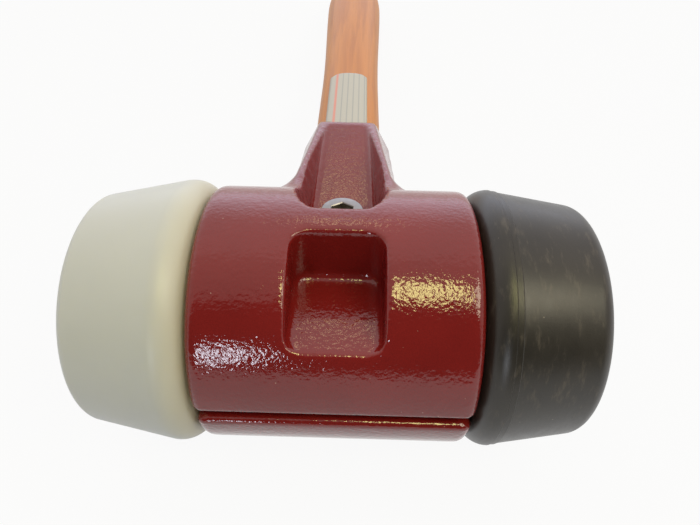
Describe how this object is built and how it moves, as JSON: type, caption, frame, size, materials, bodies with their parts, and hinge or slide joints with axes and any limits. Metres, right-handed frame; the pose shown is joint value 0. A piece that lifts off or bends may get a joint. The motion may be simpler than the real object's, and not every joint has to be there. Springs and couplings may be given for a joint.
{
  "type": "soft face hammer",
  "caption": "Two-faced mallet with a split cast housing, clamped by one socket screw around a plastic insert, a rubber insert and an oval wooden handle",
  "frame": {"origin": "middle of the bounding box, on the plane that the inserts' rims touch", "axes": "X along the head axis with the rubber face at +X, Y along the handle towards its butt, Z along the clamp screw towards its head"},
  "size_m": [0.1616, 0.3912, 0.0905],
  "materials": {
    "housing_paint": "gloss burgundy paint over a cast surface",
    "ivory_plastic": "satin, slightly translucent",
    "black_rubber": "satin moulded rubber",
    "ash_wood": "clear lacquer",
    "steel": "zinc plated"
  },
  "bodies": {
    "base": {"lower_shell": "housing_paint", "clamp_nut": "steel", "plastic_insert": "ivory_plastic", "rubber_insert": "black_rubber", "handle": "ash_wood"},
    "cover": {"upper_shell": "housing_paint"},
    "screw": {"clamp_screw": "steel"}
  },
  "joints": [
    {"name": "cover_lift", "type": "slide", "parent": "base", "child": "cover", "axis": [0, 0, 1], "range_m": [0, 0.009]},
    {"name": "screw_turn", "type": "hinge", "parent": "cover", "child": "screw", "pos_m": [0, -0.12008, 0.05725], "axis": [0, 0, 1], "range_deg": [0, 2160]}
  ],
  "couplings": [
    {"joint": "screw_turn", "follows": "cover_lift", "rad_per_m": 4188.8}
  ]
}
